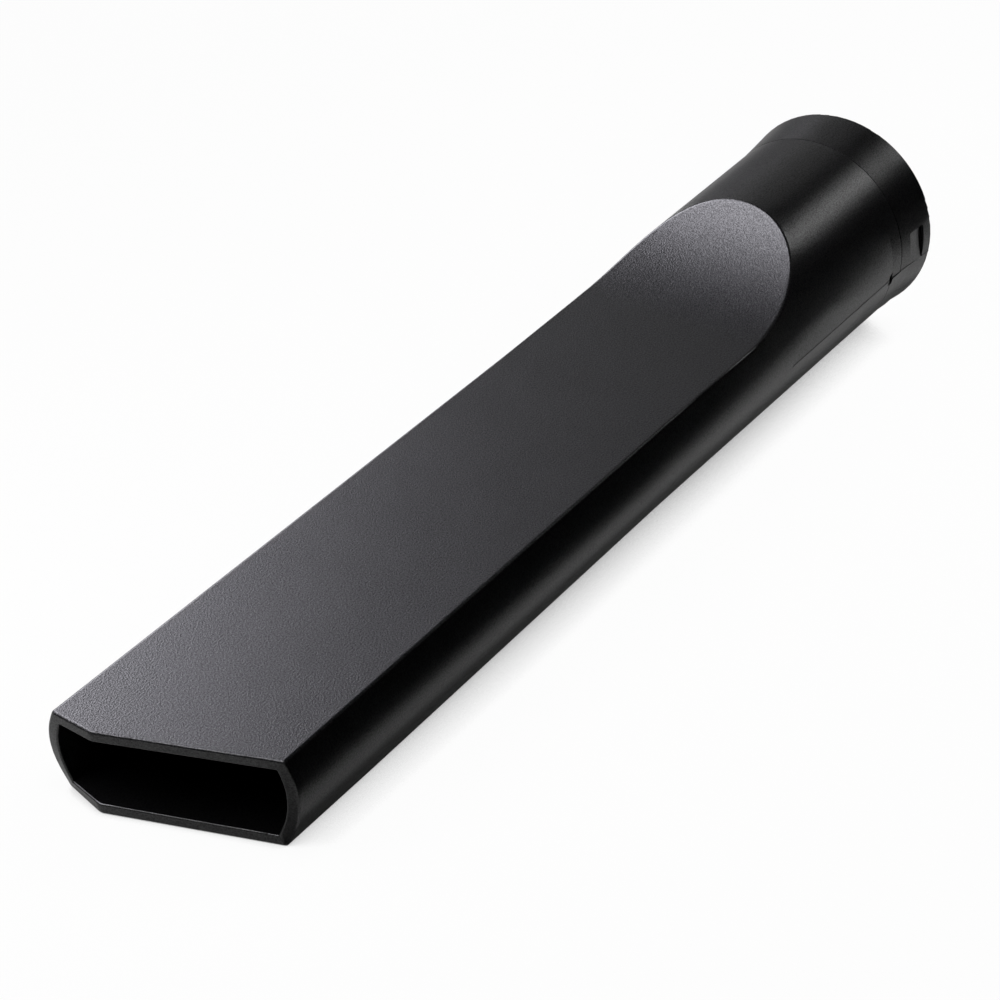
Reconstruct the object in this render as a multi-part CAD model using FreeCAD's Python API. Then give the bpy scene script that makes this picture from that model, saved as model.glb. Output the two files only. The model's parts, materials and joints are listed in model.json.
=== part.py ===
import FreeCAD, Part
import math
import os

# Vacuum crevice tool, moulded in one piece.
# A round connector narrows into a flat blade. A scooped flat slices the tube from above and ends in a
# rounded tongue; below, one long flat slopes from the mouth to the tube, and the tool lies on it. The
# mouth is cut on the slant, with a short blunt tip on the left. All sizes are in millimetres.
# Modelling frame: X runs from the tip of the mouth to the connector, Y to the left, Z up.

# Overall form
overall_length = 200.0
blade_width = 36.5
blade_thickness = 15.5
wall = 1.9

# Connector: the tube widens towards the ring, and the ring flares to its end
taper_start = 110.0
tube_end_diameter = 38.3
ring_end_diameter = 40.0
ring_length = 10.4
socket_diameter = 35.0
socket_depth = 28.0
socket_lead_in = 0.8
ring_edge_radius = 0.5

# Flats: the upper one runs straight from the mouth, then in a concave arc out through the tube. The
# lower one, the belly, is a sloping plane that meets the tube's bottom
flat_length = 136.6
scoop_radius = 37.7
belly_length = 178.0
flat_edge_radius = 0.6

# Mouth: a blunt tip on the left, a slanted cut on the right. The tip curves back lower down
tip_inset = 9.15
mouth_slant_deg = 22.8
tip_rake_deg = 15.2
tip_corner_radius = 2.5
rim_outer_radius = 0.45
rim_inner_radius = 0.3

# Mould marks: an upper and a lower seam round the connector, and a parting line along both sides of the
# tube, a little below the middle
seam_width = 0.4
seam_depth = 0.22
lower_seam_step = 3.6
parting_drop = 1.7
parting_length = 50.0
parting_width = 0.22
parting_height = 0.07
pit_width = 1.5
pit_radius = 1.8
pit_depth = 0.55

# Sunken band between the two seams on the right, and the latch step near the ring's end. The step runs
# round the lower half, and a flat-floored pocket continues it above the parting line on the right
band_depth = 0.2
band_top = 8.1
step_length = 7.3
step_depth = 0.35
step_rise_deg = 7.6
pocket_length = 4.5
pocket_top = 4.9
pocket_floor = 19.15
pocket_facing_deg = 7.5

# Room that cutting tools reach past the part, and how far a measured size may be off
overshoot = 10.0
tolerance = 1e-6

blade_radius = blade_width / 2
tube_radius = tube_end_diameter / 2
ring_radius = ring_end_diameter / 2
socket_radius = socket_diameter / 2
half_thickness = blade_thickness / 2
duct_radius = blade_radius - wall
ring_start = overall_length - ring_length
socket_start = overall_length - socket_depth
reach = ring_radius + overshoot
tube_slope = (tube_radius - blade_radius) / (ring_start - taper_start)
FULL_TURN = 360.0

AXIS_X = FreeCAD.Vector(1, 0, 0)
AXIS_Y = FreeCAD.Vector(0, 1, 0)
CENTRE = FreeCAD.Vector(0, 0, 0)


def in_profile(x, z):
    """A point of the lengthwise profile, in the plane Y = 0."""
    return FreeCAD.Vector(x, 0, z)


def tube_radius_at(x):
    """Outside radius of the tube between the start of its taper and the ring."""
    return blade_radius + tube_slope * (x - taper_start)


def belly_slope():
    """How fast the flat underside drops from the mouth to where it meets the tube's bottom."""
    return (tube_radius_at(belly_length) - half_thickness) / belly_length


def turned(points):
    """Solid turned about X from a closed profile."""
    face = Part.Face(Part.makePolygon(points + points[:1]))
    return face.revolve(CENTRE, AXIS_X, FULL_TURN)


def turned_tube(skin=0.0):
    """The round tube and its ring, before the flats are cut, grown by skin."""
    return turned([
        in_profile(-overshoot, 0),
        in_profile(-overshoot, blade_radius + skin),
        in_profile(taper_start, blade_radius + skin),
        in_profile(ring_start, tube_radius + skin),
        in_profile(overall_length, ring_radius + skin),
        in_profile(overall_length, 0),
    ])


def scoop(inset=0.0):
    """What is cut away above the upper flat. inset lowers the flat, for the duct's side of the wall."""
    floor = half_thickness - inset
    radius = scoop_radius + inset
    centre_z = half_thickness + scoop_radius
    turn = math.acos((centre_z - reach) / radius)
    start = in_profile(flat_length, floor)
    middle = in_profile(flat_length + radius * math.sin(turn / 2), centre_z - radius * math.cos(turn / 2))
    end = in_profile(flat_length + radius * math.sin(turn), reach)
    back_top = in_profile(-2 * overshoot, reach)
    back = in_profile(-2 * overshoot, floor)
    outline = Part.Wire([
        Part.makeLine(back, start),
        Part.Arc(start, middle, end).toShape(),
        Part.makeLine(end, back_top),
        Part.makeLine(back_top, back),
    ])
    slab = Part.Face(outline).extrude(AXIS_Y * 2 * reach)
    slab.translate(AXIS_Y * -reach)
    return slab


def belly(inset=0.0):
    """What is cut away below the flat underside. inset raises it, for the duct's side of the wall."""
    front = -2 * overshoot
    back = overall_length + overshoot
    top = inset - half_thickness
    low = -2 * reach
    corners = [
        in_profile(front, top - belly_slope() * front),
        in_profile(back, top - belly_slope() * back),
        in_profile(back, low),
        in_profile(front, low),
    ]
    slab = Part.Face(Part.makePolygon(corners + corners[:1])).extrude(AXIS_Y * 2 * reach)
    slab.translate(AXIS_Y * -reach)
    return slab


def with_both_flats(body, inset=0.0):
    """The body sliced by the scoop above and by the flat underside."""
    return body.cut(scoop(inset)).cut(belly(inset))


def duct():
    """The air way: a flattened duct, and the round socket that takes the wand."""
    core = Part.makeCylinder(duct_radius, socket_start + 2 * overshoot, in_profile(-overshoot, 0), AXIS_X)
    socket = Part.makeCylinder(socket_radius, socket_depth + overshoot, in_profile(socket_start, 0), AXIS_X)
    lead_in = Part.makeCone(
        socket_radius, socket_radius + 2 * socket_lead_in, 2 * socket_lead_in,
        in_profile(overall_length - socket_lead_in, 0), AXIS_X)
    return with_both_flats(core, wall).fuse([socket, lead_in])


def mouth_outline(z):
    """Plan of the waste in front of the mouth, at height z. The tip's left edge curves back lower down."""
    share = (half_thickness - z) / blade_thickness
    rake = math.tan(math.radians(tip_rake_deg)) * share ** 2
    slant = math.tan(math.radians(mouth_slant_deg))
    kink = FreeCAD.Vector(0, tip_inset, z)
    left = FreeCAD.Vector(rake * (reach - tip_inset), reach, z)
    right = FreeCAD.Vector(slant * (reach + tip_inset), -reach, z)
    to_left = (left - kink).normalize()
    to_right = (right - kink).normalize()
    half_angle = to_left.getAngle(to_right) / 2
    inward = (to_left + to_right).normalize()
    tangent = tip_corner_radius / math.tan(half_angle)
    crown = tip_corner_radius / math.sin(half_angle) - tip_corner_radius
    arc_left = kink + to_left * tangent
    arc_right = kink + to_right * tangent
    front_right = FreeCAD.Vector(-2 * overshoot, -reach, z)
    front_left = FreeCAD.Vector(-2 * overshoot, reach, z)
    return Part.Wire([
        Part.makeLine(left, arc_left),
        Part.Arc(arc_left, kink + inward * crown, arc_right).toShape(),
        Part.makeLine(arc_right, right),
        Part.makeLine(right, front_right),
        Part.makeLine(front_right, front_left),
        Part.makeLine(front_left, left),
    ])


def mouth_waste():
    """Everything in front of the mouth's cut."""
    return Part.makeLoft([mouth_outline(z) for z in (reach, 0, -reach)], True)


def edges_between(shape, first, second):
    """Edges where a face that first() accepts meets a face that second() accepts."""
    found = []
    for edge in shape.Edges:
        faces = shape.ancestorsOfType(edge, Part.Face)
        if len(faces) == 2:
            one, other = faces
            if (first(one) and second(other)) or (first(other) and second(one)):
                found.append(edge)
    return found


def is_turned(face):
    """True for the round outside of the blade and the tube."""
    surface = face.Surface
    if isinstance(surface, Part.Cylinder):
        return abs(surface.Radius - blade_radius) < tolerance
    return isinstance(surface, Part.Cone)


def is_scooped(face):
    """True for the flats and their tongues."""
    surface = face.Surface
    if isinstance(surface, Part.Cylinder):
        return abs(surface.Radius - scoop_radius) < tolerance
    return isinstance(surface, Part.Plane) and abs(surface.Axis.z) > abs(surface.Axis.x)


def outer_form():
    """The outside of the tool, with softened edges along both flats."""
    body = with_both_flats(turned_tube())
    body = body.makeFillet(flat_edge_radius, edges_between(body, is_turned, is_scooped))
    rim = [edge for edge in body.Edges
           if abs(edge.BoundBox.XMin - overall_length) < tolerance
           and abs(edge.BoundBox.ZMax - ring_radius) < tolerance]
    return body.makeFillet(ring_edge_radius, rim)


def rim_edges(body, outside):
    """The outer or the inner edge loop of the mouth's rim."""
    slanted = [face for face in body.Faces if face.BoundBox.XMax < flat_length / 2]
    loops = []
    for edge in body.Edges:
        faces = body.ancestorsOfType(edge, Part.Face)
        on_rim = [any(face.isSame(other) for other in slanted) for face in faces]
        if len(faces) == 2 and on_rim.count(True) == 1:
            middle = edge.valueAt((edge.FirstParameter + edge.LastParameter) / 2)
            from_axis = math.hypot(middle.y, middle.z)
            duct_side = from_axis < duct_radius + wall / 2 and abs(middle.z) < half_thickness - wall / 2
            if duct_side != outside:
                loops.append(edge)
    return loops


def below_parting(shape):
    """The part of a shape below the parting line."""
    lower = Part.makeBox(
        2 * overall_length, 2 * reach, reach, FreeCAD.Vector(0, -reach, -parting_drop - reach))
    return shape.common(lower)


def right_of_parting(shape, top):
    """The right-hand part of a shape between the parting line and the height top."""
    window = Part.makeBox(
        2 * overall_length, reach, parting_drop + top, FreeCAD.Vector(0, -reach, -parting_drop))
    return shape.common(window)


def seam_groove(x, radius):
    """A fine seam line all round the connector."""
    half = seam_width / 2
    return turned([
        in_profile(x, radius - seam_depth),
        in_profile(x + half, radius + seam_depth),
        in_profile(x - half, radius + seam_depth),
    ])


def ramp(start, start_radius, end, end_radius):
    """Waste all round outside a cone that runs from start to end."""
    return turned([
        in_profile(start, start_radius),
        in_profile(end, end_radius),
        in_profile(end, reach),
        in_profile(start, reach),
    ])


def sunken_band():
    """The shallow band between the two seams, which rises to the upper one."""
    start = ring_start - lower_seam_step
    band = ramp(start, tube_radius_at(start) - band_depth, ring_start, tube_radius)
    return right_of_parting(band, band_top)


def parting_ridges():
    """The fine raised line along both sides of the tube, where the mould's halves met."""
    start = overall_length - parting_length
    strip = Part.makeBox(
        parting_length - ring_edge_radius, 2 * reach, parting_width,
        FreeCAD.Vector(start, -reach, -parting_drop - parting_width / 2))
    middle_of_wall = Part.makeCylinder(
        (socket_radius + tube_radius) / 2, parting_length, in_profile(start, 0), AXIS_X)
    return turned_tube(parting_height).common(strip).cut(middle_of_wall)


def latch_step():
    """The step round the ring's lower half, with the pocket above the parting line on the right."""
    start = overall_length - step_length
    flare = (ring_radius - tube_radius) / ring_length
    low = tube_radius + flare * (start - ring_start) - step_depth
    long_reach = step_length + overshoot
    rise = math.tan(math.radians(step_rise_deg)) * long_reach
    step = ramp(start, low, start + long_reach, low + rise)
    pocket = Part.makeBox(
        pocket_length, reach, 2 * reach, FreeCAD.Vector(start, -pocket_floor - reach, -reach))
    pocket.rotate(CENTRE, AXIS_X, -pocket_facing_deg)
    return below_parting(step).fuse(right_of_parting(pocket, pocket_top))


def sink_pit():
    """A small upright pit where the lower seam meets the right-hand parting line."""
    x = ring_start - lower_seam_step
    middle = FreeCAD.Vector(x - pit_width / 2, -tube_radius_at(x) - pit_radius + pit_depth, -parting_drop)
    return Part.makeCylinder(pit_radius, pit_width, middle, AXIS_X)


def crevice_tool():
    """The whole tool in the modelling frame."""
    body = outer_form().cut(duct()).cut(mouth_waste())
    body = body.makeFillet(rim_outer_radius, rim_edges(body, True))
    body = body.makeFillet(rim_inner_radius, rim_edges(body, False))
    body = body.fuse(parting_ridges())
    upper_seam = seam_groove(ring_start, tube_radius)
    lower_x = ring_start - lower_seam_step
    lower_seam = seam_groove(lower_x, tube_radius_at(lower_x))
    seams = [upper_seam.cut(below_parting(upper_seam)), below_parting(lower_seam)]
    return body.cut(seams + [sunken_band(), sink_pit(), latch_step()]).removeSplitter()


def at_rest(body):
    """Laid on the ground on its flat underside."""
    body.rotate(CENTRE, AXIS_Y, -math.degrees(math.atan(belly_slope())))
    box = body.optimalBoundingBox(False)
    body.translate(FreeCAD.Vector(-box.Center.x, -box.Center.y, -box.ZMin))
    return body


tool = at_rest(crevice_tool())
os.makedirs("parts", exist_ok=True)
tool.exportStep("parts/crevice_tool.step")
print("crevice_tool", tool.ShapeType, "solids", len(tool.Solids), "valid", tool.isValid(),
      "volume", round(tool.Volume, 1), "box", tool.optimalBoundingBox(False))
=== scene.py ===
# %% [markdown]
# # A vacuum crevice tool
# The real tool is a single plastic moulding: a round connector that narrows into a flat blade with a slanted
# mouth. Its shape arrives exact, so this lesson leaves the mesh alone and works on what the eye needs next:
# the grained black plastic, the studio round it and the camera.

# %% Load the tool
import json
import math

import bmesh
import bpy
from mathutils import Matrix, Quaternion, Vector


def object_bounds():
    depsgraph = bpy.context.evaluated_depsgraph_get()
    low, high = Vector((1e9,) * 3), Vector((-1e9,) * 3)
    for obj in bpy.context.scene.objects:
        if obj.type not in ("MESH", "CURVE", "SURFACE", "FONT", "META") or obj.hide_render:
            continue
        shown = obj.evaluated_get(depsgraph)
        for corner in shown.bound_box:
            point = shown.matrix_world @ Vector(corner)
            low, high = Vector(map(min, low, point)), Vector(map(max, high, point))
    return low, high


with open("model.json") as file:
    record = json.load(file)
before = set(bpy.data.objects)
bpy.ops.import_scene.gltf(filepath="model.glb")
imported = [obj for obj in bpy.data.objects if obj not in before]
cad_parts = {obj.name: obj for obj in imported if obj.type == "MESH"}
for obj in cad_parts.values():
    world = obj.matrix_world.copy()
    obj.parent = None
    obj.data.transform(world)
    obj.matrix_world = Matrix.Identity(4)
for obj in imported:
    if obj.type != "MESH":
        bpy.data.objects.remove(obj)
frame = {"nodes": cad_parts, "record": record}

MM = 0.001
cad_low, cad_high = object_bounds()
tool = frame["nodes"]["crevice_tool"]
print("tool size in mm:", [round(side / MM, 2) for side in cad_high - cad_low])

# %% [markdown]
# ## The tool's own axis
# The tool lies on its long flat underside, so its axis climbs a few degrees from the mouth to the connector.
# A pattern that follows the tool needs that axis and not the table's. We could type the angle in, but the
# socket in the connector lies on the axis, so the record already holds its direction and its place.

# %% Measure the tool along its axis
socket = frame["record"]["mounts"][0]
axis = Vector(socket["axis"])
pitch = math.atan2(axis.z, axis.x)
socket_place = Vector(socket["pos_m"])
along_axis = [(vertex.co - socket_place).dot(axis) for vertex in tool.data.vertices]
mouth_place = socket_place + axis * min(along_axis)
print("length along the axis in mm:", round((max(along_axis) - min(along_axis)) / MM, 2))
print("the axis climbs, in degrees:", round(math.degrees(pitch), 2))

# %% [markdown]
# ## A skin without seams
# The exact shape arrives as separate faces, each shaded on its own, so a faint step shows where two of them
# meet along the top of the tube. On the real moulding nothing shows there. We could rebuild the mesh, but
# three modifiers leave it untouched: one joins the points that coincide, one keeps the true edges sharp, and
# one lets the large faces decide how light turns over the small ones.

# %% Join the shading
join_distance = 0.002 * MM
sharp_edge_deg = 32

weld = tool.modifiers.new("join_points", "WELD")
weld.merge_threshold = join_distance
split = tool.modifiers.new("keep_true_edges", "EDGE_SPLIT")
split.split_angle = math.radians(sharp_edge_deg)
even = tool.modifiers.new("even_shading", "WEIGHTED_NORMAL")
even.mode = "FACE_AREA_WITH_ANGLE"
joined = tool.evaluated_get(bpy.context.evaluated_depsgraph_get()).data
print("points before and after:", len(tool.data.vertices), len(joined.vertices))

# %% [markdown]
# ## Helpers for materials
# Colours are easiest to pick as the hex values of a paint program, but shaders count light, so one function
# turns the sRGB hex into linear numbers. Another adds a node: its settings are the node's own properties, and
# each input is either a plain value or the output of another node. The last starts an empty material.

# %% Colour and node helpers
def linear(hex_colour):
    """An sRGB hex colour such as "#1c1c1f" as the linear RGBA that shaders use."""
    shares = [int(hex_colour[place:place + 2], 16) / 255 for place in (1, 3, 5)]
    return (*[((s + 0.055) / 1.055) ** 2.4 if s > 0.04045 else s / 12.92 for s in shares], 1.0)


def add_node(tree, kind, inputs, **settings):
    """Adds one shader node with its settings, and fills or links its inputs."""
    node = tree.nodes.new("ShaderNode" + kind)
    for name, value in settings.items():
        setattr(node, name, value)
    for socket_name, value in inputs.items():
        if isinstance(value, bpy.types.NodeSocket):
            tree.links.new(value, node.inputs[socket_name])
        else:
            node.inputs[socket_name].default_value = value
    return node


def new_material(name):
    """An empty node material, its tree, and its output node."""
    material = bpy.data.materials.new(name)
    material.use_nodes = True
    tree = material.node_tree
    tree.nodes.clear()
    return material, tree, tree.nodes.new("ShaderNodeOutputMaterial")


print("pale grey #c8c8c8 is linear", round(linear("#c8c8c8")[0], 3))

# %% [markdown]
# ## Where the flats are
# The round tube was sliced above and below to make the flat blade, and the mould is rougher on those flats.
# Two materials would need a cut through the mesh, so one material has to know the flats by itself. It asks
# how far a point lies below the round skin of the tube, because only the flats were sliced out of that skin.
# The inside of the duct lies below it too, so the point must also be high up on the tool or on the table.
# The duct's inside is no flat, and its blacker colour is also painted shade that darkens the hollow of the
# mouth.

# %% Find the flats
taper_start_mm = 110.0
ring_start_mm = 189.6
blade_radius_mm = 18.25
tube_radius_mm = 19.15
skin_fade_mm = (0.1, 0.6)
top_height_mm = (6.6, 7.3)
belly_height_mm = (1.2, 0.6)


def share_of_flat(tree, place, in_tool):
    """1 on the flats, 0 on the round skin and in the duct."""
    parts = add_node(tree, "SeparateXYZ", {"Vector": in_tool}).outputs
    across = add_node(tree, "VectorMath", {
        0: in_tool, 1: (0, 1, 1)}, operation="MULTIPLY").outputs["Vector"]
    from_axis = add_node(tree, "VectorMath", {0: across}, operation="LENGTH").outputs["Value"]
    skin = add_node(tree, "MapRange", {
        "Value": parts["X"], "From Min": taper_start_mm, "From Max": ring_start_mm,
        "To Min": blade_radius_mm, "To Max": tube_radius_mm,
    }).outputs["Result"]
    below_skin = add_node(tree, "Math", {0: skin, 1: from_axis}, operation="SUBTRACT").outputs["Value"]
    sliced = add_node(tree, "MapRange", {
        "Value": below_skin, "From Min": skin_fade_mm[0], "From Max": skin_fade_mm[1],
    }).outputs["Result"]
    on_top = add_node(tree, "MapRange", {
        "Value": parts["Z"], "From Min": top_height_mm[0], "From Max": top_height_mm[1],
    }).outputs["Result"]
    above_table = add_node(tree, "SeparateXYZ", {"Vector": place}).outputs["Z"]
    on_belly = add_node(tree, "MapRange", {
        "Value": above_table, "From Min": belly_height_mm[0] * MM, "From Max": belly_height_mm[1] * MM,
    }).outputs["Result"]
    # Painted shade: the duct's inside is kept off the flats, so it gets the blacker colour and its hollow
    # looks darker.
    outside_shaded_duct = add_node(tree, "Math", {0: on_top, 1: on_belly}, operation="MAXIMUM").outputs["Value"]
    return add_node(tree, "Math", {0: sliced, 1: outside_shaded_duct}, operation="MULTIPLY").outputs["Value"]


print("the tube gains in radius, in mm:", round(tube_radius_mm - blade_radius_mm, 2))

# %% [markdown]
# ## Black polypropylene from a spark-eroded mould
# Soot-black polypropylene takes its surface from the steel of the mould. Sparks eroded the steel over the
# flats and left a fine even grain that scatters light, so the flats look dark grey. The round tube stays
# blacker and carries a soft, slightly grainy streak. A bump alone could draw the grain, but at this distance
# it turns patchy, so most of the grain is a change of shine: its pits mirror less than its peaks.

# %% Sizes of the finish
# The real grain is about 0.1 mm across, too fine to show in this picture, so it is drawn coarser.
grain_mm = 0.25
grain_depth_mm = 0.10
grain_octaves = 1.0
grain_twist = 0.3
noise_range = (0.3, 0.7)
round_relief = 0.2
flat_relief = 0.4
pit_shine = 0.28
peak_shine = 0.72

cloud_mm = 9.0
cloud_octaves = 3.0
cloud_roughness = 0.6
roughness_drift = 0.012

polypropylene_ior = 1.49
flat_roughness = 0.345
round_roughness = 0.29
flat_grey = linear("#111113")
round_black_and_painted_duct_shade = linear("#09090a")
print("grain across the blade:", round(2 * blade_radius_mm / grain_mm))

# %% Build the plastic
def grained_polypropylene():
    """Moulded black polypropylene: grained dark grey on the flats, smoother and blacker on the round skin."""
    material, tree, output = new_material("black_polypropylene_spark_eroded")
    place = add_node(tree, "TexCoord", {}).outputs["Object"]
    in_tool = add_node(tree, "Mapping", {
        "Vector": place, "Location": mouth_place, "Rotation": (0, -pitch, 0), "Scale": (MM, MM, MM),
    }, vector_type="TEXTURE").outputs["Vector"]
    flat_share = share_of_flat(tree, place, in_tool)

    grain = add_node(tree, "TexNoise", {
        "Vector": in_tool, "Scale": 1 / grain_mm, "Detail": grain_octaves, "Distortion": grain_twist,
    }).outputs["Fac"]
    shine = add_node(tree, "MapRange", {
        "Value": grain, "From Min": noise_range[0], "From Max": noise_range[1],
        "To Min": pit_shine, "To Max": peak_shine,
    }).outputs["Result"]
    relief = add_node(tree, "MapRange", {
        "Value": flat_share, "To Min": round_relief, "To Max": flat_relief,
    }).outputs["Result"]
    bump = add_node(tree, "Bump", {"Height": grain, "Strength": relief, "Distance": grain_depth_mm * MM})

    clouds = add_node(tree, "TexNoise", {
        "Vector": in_tool, "Scale": 1 / cloud_mm, "Detail": cloud_octaves, "Roughness": cloud_roughness,
    }).outputs["Fac"]
    drift = add_node(tree, "MapRange", {
        "Value": clouds, "From Min": noise_range[0], "From Max": noise_range[1],
        "To Min": -roughness_drift, "To Max": roughness_drift,
    }).outputs["Result"]
    evenness = add_node(tree, "MapRange", {
        "Value": flat_share, "To Min": round_roughness, "To Max": flat_roughness,
    }).outputs["Result"]
    roughness = add_node(tree, "Math", {0: evenness, 1: drift}, operation="ADD").outputs["Value"]

    colour = add_node(tree, "Mix", {
        "Factor": flat_share, "A": round_black_and_painted_duct_shade, "B": flat_grey}, data_type="RGBA").outputs["Result"]
    plastic = add_node(tree, "BsdfPrincipled", {
        "Base Color": colour, "Roughness": roughness, "IOR": polypropylene_ior,
        "Specular IOR Level": shine, "Normal": bump.outputs["Normal"],
    })
    tree.links.new(plastic.outputs["BSDF"], output.inputs["Surface"])
    return material


tool.material_slots[0].material = grained_polypropylene()
print("tool wears", tool.material_slots[0].material.name)

# %% [markdown]
# ## White paper
# The table is matt white studio paper. To make it white with lamps alone, we would have to flood the black
# tool with light. So the Light Path node shows the paper to the camera as plain white, and lets it glow a
# little in reflections. What must stay is the soft shadow beside the tool, and it is a painted shadow: the
# Ambient Occlusion node tells how much a point is covered within a few millimetres, a power keeps it close
# to the tool, and it darkens the paper's white and its colour, so reflections see it too.

# %% Make the paper
paper_white = linear("#f6f6f6")
glow_white = linear("#ffffff")
contact_reach = 9 * MM
shadow_depth = 2.5
shadow_sharpness = 6.0
shadow_samples = 4
camera_share = 0.97
mirror_share = 0.15


def white_paper():
    """Matt white studio paper. To the camera it is white except for a painted shadow close to the tool."""
    material, tree, output = new_material("matt_white_studio_paper")
    openness = add_node(tree, "AmbientOcclusion", {
        "Distance": contact_reach}, samples=shadow_samples).outputs["AO"]
    covered = add_node(tree, "Math", {0: 1.0, 1: openness}, operation="SUBTRACT").outputs["Value"]
    shadow = add_node(tree, "Math", {0: covered, 1: shadow_sharpness}, operation="POWER").outputs["Value"]
    shade = add_node(tree, "Math", {
        0: shadow, 1: -shadow_depth, 2: 1.0}, operation="MULTIPLY_ADD", use_clamp=True).outputs["Value"]
    # Painted shadow: the paper's colour is darkened near the tool, so the plastic mirrors a shadow there.
    grey = add_node(tree, "VectorMath", {
        0: paper_white[:3], "Scale": shade}, operation="SCALE").outputs["Vector"]
    paper = add_node(tree, "BsdfDiffuse", {"Color": grey}).outputs["BSDF"]
    glow = add_node(tree, "Emission", {"Color": glow_white, "Strength": shade}).outputs["Emission"]

    ray = add_node(tree, "LightPath", {}).outputs
    seen = add_node(tree, "Math", {
        0: ray["Is Camera Ray"], 1: camera_share}, operation="MULTIPLY").outputs["Value"]
    mirrored = add_node(tree, "Math", {
        0: ray["Is Glossy Ray"], 1: ray["Is Transmission Ray"]}, operation="ADD").outputs["Value"]
    glow_share = add_node(tree, "Math", {
        0: mirrored, 1: mirror_share, 2: seen}, operation="MULTIPLY_ADD").outputs["Value"]
    surface = add_node(tree, "MixShader", {0: glow_share, 1: paper, 2: glow}).outputs["Shader"]
    tree.links.new(surface, output.inputs["Surface"])
    return material


studio_paper = white_paper()
print("paper:", studio_paper.name)

# %% [markdown]
# ## The table and its backdrop
# In a studio the paper hangs in a curve, so that no edge shows behind the product. A flat plane would do for
# one view, but a table that curves up into a low wall all round gives a pale background from every side. One
# profile is spun into a disc, because a spin makes the curve and its seam in one step.

# %% Spin the backdrop
backdrop_radius = 1.30
cove_radius = 0.35
wall_height = 0.75
cove_steps = 12
spin_steps = 96
seam_gap = 0.1 * MM


def studio_backdrop():
    """A round table top that curves up into a wall."""
    shape = bmesh.new()
    corner = backdrop_radius - cove_radius
    profile = [shape.verts.new((0, 0, 0)), shape.verts.new((corner, 0, 0))]
    for step in range(1, cove_steps + 1):
        turn = math.radians(90) * step / cove_steps
        out = corner + cove_radius * math.sin(turn)
        up = cove_radius * (1 - math.cos(turn))
        profile.append(shape.verts.new((out, 0, up)))
    profile.append(shape.verts.new((backdrop_radius, 0, wall_height)))
    edges = [shape.edges.new(pair) for pair in zip(profile, profile[1:])]
    bmesh.ops.spin(shape, geom=profile + edges, cent=(0, 0, 0), axis=(0, 0, 1), angle=math.radians(360),
                   steps=spin_steps, use_merge=True)
    bmesh.ops.remove_doubles(shape, verts=shape.verts, dist=seam_gap)
    bmesh.ops.recalc_face_normals(shape, faces=shape.faces)
    for face in shape.faces:
        face.smooth = True
    mesh = bpy.data.meshes.new("backdrop")
    shape.to_mesh(mesh)
    shape.free()
    return bpy.data.objects.new("backdrop", mesh)


backdrop = studio_backdrop()
bpy.context.scene.collection.objects.link(backdrop)
backdrop.data.materials.append(studio_paper)
print("backdrop faces:", len(backdrop.data.polygons))

# %% [markdown]
# ## Studio light
# Black plastic shows little colour of its own: what we see on it is the studio. Each lamp is a flat box that
# faces the tool. It is placed by its compass heading (0 is along the tool to its connector, 90 is its left),
# its height in degrees and its distance in metres. We could set its power in watts, but then a larger box
# would look dimmer, so we give the brightness of its face, where 1 is as bright as white on the screen.

# %% A lamp that faces the tool
aim_at = Vector((0, 0, (cad_high.z - cad_low.z) / 2))


def towards(heading_deg, height_deg):
    """Unit vector with that compass heading and height above the table."""
    heading, height = math.radians(heading_deg), math.radians(height_deg)
    level = math.cos(height)
    return Vector((level * math.cos(heading), level * math.sin(heading), math.sin(height)))


def softbox(name, heading_deg, height_deg, distance, width, length, brightness, spin_deg=0):
    """A flat rectangular lamp that faces the tool, turned about its own axis by the spin."""
    lamp = bpy.data.lights.new(name, "AREA")
    lamp.shape = "RECTANGLE"
    lamp.size = width
    lamp.size_y = length
    lamp.energy = brightness * math.pi * width * length
    holder = bpy.data.objects.new(name, lamp)
    back = towards(heading_deg, height_deg)
    facing = back.to_track_quat("Z", "Y")
    holder.location = aim_at + back * distance
    holder.rotation_euler = (facing @ Quaternion((0, 0, 1), math.radians(spin_deg))).to_euler()
    holder.visible_camera = False
    bpy.context.scene.collection.objects.link(holder)
    print(name, "at", [round(value, 2) for value in holder.location])
    return holder


print("lamps face", [round(value, 3) for value in aim_at])

# %% [markdown]
# ## Lamps that the plastic mirrors
# A long softbox over the left side shines in the flats, which grow lighter towards the mouth, and makes the
# scooped tongue glow. A strip behind on the right draws the streak along the tube. A weak fill behind on the
# left lifts the top of the tube, and a lamp in front catches the edge of the mouth. One broad lamp would
# be simpler, but it would turn all these into the same grey.

# %% Hang the mirrored lamps
daylight = linear("#f7f5ff")

key = softbox("softbox_left", heading_deg=101.3, height_deg=46.3, distance=0.80,
              width=1.62, length=0.45, brightness=10.3, spin_deg=18.5)
key.data.color = daylight[:3]
key.visible_diffuse = False
softbox("strip_behind_right", heading_deg=-19.3, height_deg=33.4, distance=0.81,
        width=0.20, length=0.15, brightness=4.2, spin_deg=14.4)
fill = softbox("fill_behind_left", heading_deg=26, height_deg=33, distance=0.90,
               width=0.45, length=0.45, brightness=0.25)
fill.visible_diffuse = False
edge = softbox("edge_light_front", heading_deg=171, height_deg=55, distance=0.80,
               width=0.30, length=0.30, brightness=6.0)
edge.visible_diffuse = False

# %% [markdown]
# ## Lamps for the paper
# The lower side of the tool and the rim of its mouth mirror the table close by. Two small panels light the
# paper there, one over the connector and one before the mouth. They could be brighter patches in the paper,
# but a lamp fades by itself with distance. They are hidden from reflections, or they would show as spots.

# %% Hang the panels
panel = softbox("panel_over_connector", heading_deg=-32, height_deg=45, distance=0.33,
                width=0.20, length=0.20, brightness=4.0)
panel.visible_glossy = False
front = softbox("panel_before_mouth", heading_deg=150, height_deg=35, distance=0.20,
                width=0.10, length=0.10, brightness=6.0)
front.visible_glossy = False
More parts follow.
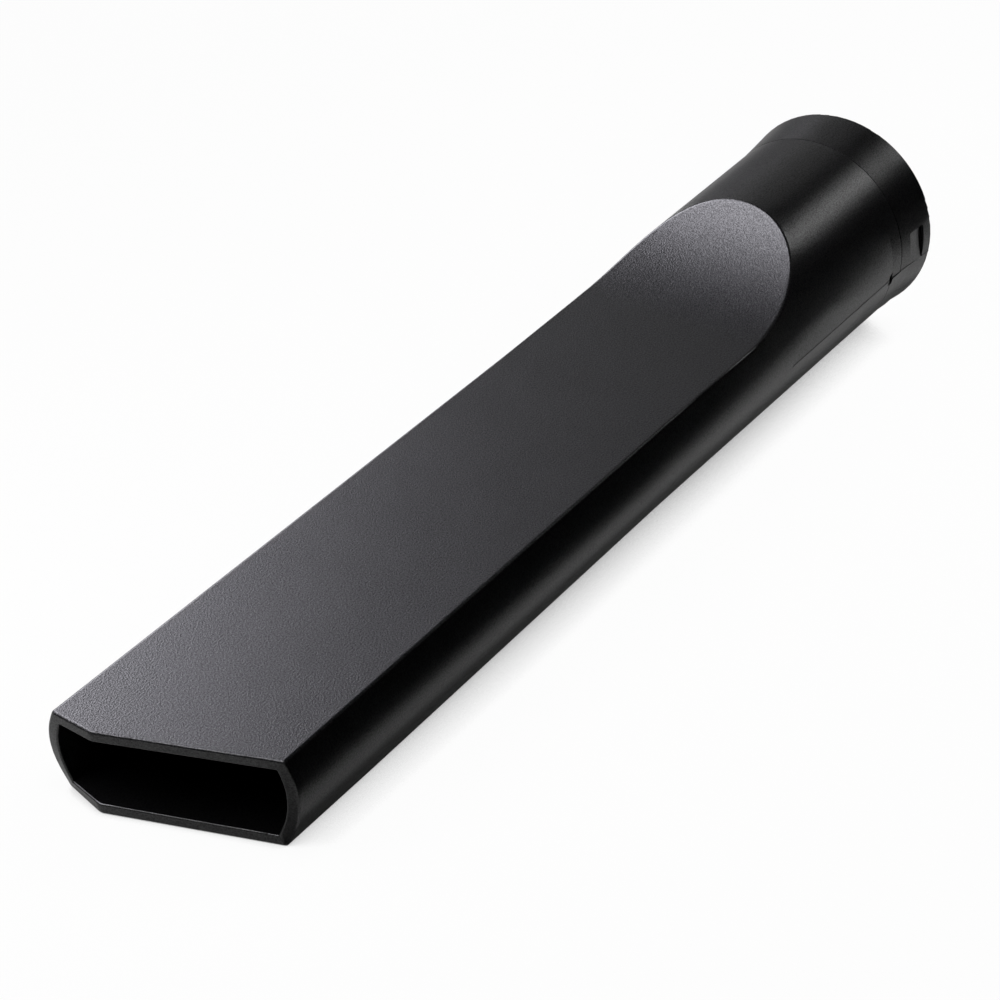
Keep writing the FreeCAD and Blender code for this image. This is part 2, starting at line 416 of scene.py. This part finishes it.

# %% [markdown]
# ## Felt cards
# A dark side needs something dark to mirror, so photographers put black cards round a shiny black product. A
# curtain hangs behind the strip on the right. A black card covers the table except for a band beside the
# tool, which shows as the soft light low on its side; a darker table would do the same, but it would show. A
# grey card along the foot is a painted shadow: it stands for the tool's own shadow on the table as the
# plastic mirrors it, and dims the inner part of that band. The camera and the light ignore the cards.

# %% Cut the cards
black_felt = linear("#080808")
painted_shadow_grey = linear("#8c8c8c")
card_height_mm = 0.5
curtain_height_mm = 800


def felt_card(name, colour, corners_mm):
    """A flat matt card that only reflections see."""
    shape = bmesh.new()
    shape.faces.new([shape.verts.new(Vector(corner) * MM) for corner in corners_mm])
    mesh = bpy.data.meshes.new(name)
    shape.to_mesh(mesh)
    shape.free()
    card = bpy.data.objects.new(name, mesh)
    material, tree, output = new_material(name + "_matt_felt")
    felt = add_node(tree, "BsdfDiffuse", {"Color": colour})
    tree.links.new(felt.outputs["BSDF"], output.inputs["Surface"])
    mesh.materials.append(material)
    card.visible_camera = False
    card.visible_diffuse = False
    card.visible_shadow = False
    bpy.context.scene.collection.objects.link(card)
    print(name, "has corners:", len(corners_mm))


def table_card(name, colour, outline_mm):
    """A card that lies on the table."""
    felt_card(name, colour, [(x, y, card_height_mm) for x, y in outline_mm])


def curtain(name, start_mm, end_mm):
    """A black curtain that hangs down to the table between two points."""
    felt_card(name, black_felt, [
        (*start_mm, card_height_mm), (*end_mm, card_height_mm),
        (*end_mm, curtain_height_mm), (*start_mm, curtain_height_mm)])


print("card height over the table in mm:", card_height_mm)

# %% Place the cards
curtain_front_mm = (-350, -1050)
curtain_corner_mm = (1050, -250)
curtain_back_mm = (1080, 60)

table_card("card_on_table", black_felt, [
    (-600, 150), (-128, 150), (-128, -27.5), (20, -28.5), (60, -35), (130, -57),
    (185, -88), (300, -135), (500, -185), (500, -900), (-600, -900)])
# Painted shadow: this grey card stands for the tool's own shadow on the table, and only reflections see it.
table_card("painted_shadow_card_at_foot", painted_shadow_grey, [
    (-107, -16.2), (-107, -19.5), (60, -20.5), (150, -20.5), (150, -4), (60, -9), (0, -14)])
curtain("curtain_right", curtain_front_mm, curtain_corner_mm)
curtain("curtain_back_right", curtain_corner_mm, curtain_back_mm)

# %% [markdown]
# ## A dim room
# Round its lamps a studio is nearly dark, and a world with very little light stands for that. A bright world
# would be quicker to set up, but it would grey every dark side of the tool. The Standard view shows each
# colour as it was written, where a film-like view would bend the white of the paper.

# %% Dim the room
room_strength = 0.02
room_white = linear("#ffffff")

room = bpy.data.worlds.new("plain_room")
room.use_nodes = True
sky = room.node_tree.nodes["Background"].inputs
sky["Color"].default_value = room_white
sky["Strength"].default_value = room_strength
bpy.context.scene.world = room
bpy.context.scene.view_settings.view_transform = "Standard"
print("room light:", room_strength)

# %% [markdown]
# ## The camera
# The photograph looks down on the mouth from the front right, close enough that the blade looks wider than
# the connector. The camera's place was found by matching the ring's ellipse, both outlines and the mouth. It
# could be held level, but this picture leans a little, so the roll is turned about the line of sight.

# %% Place the camera
camera_place = Vector((-294.58, -181.07, 234.54)) * MM
camera_aim = Vector((-23.16, -5.99, 20.0)) * MM
camera_roll_deg = 3.28
sensor_width_mm = 36.0
image_pixels = 1000
focal_pixels = 2480
nearest_seen = 10 * MM

lens = bpy.data.cameras.new("camera")
lens.sensor_width = sensor_width_mm
lens.lens = sensor_width_mm * focal_pixels / image_pixels
lens.clip_start = nearest_seen
camera = bpy.data.objects.new("camera", lens)
level_view = (camera_aim - camera_place).to_track_quat("-Z", "Y")
camera.location = camera_place
camera.rotation_euler = (level_view @ Quaternion((0, 0, 1), math.radians(camera_roll_deg))).to_euler()
bpy.context.scene.collection.objects.link(camera)
bpy.context.scene.camera = camera
print("camera distance in mm:", round((camera_aim - camera_place).length / MM, 1))
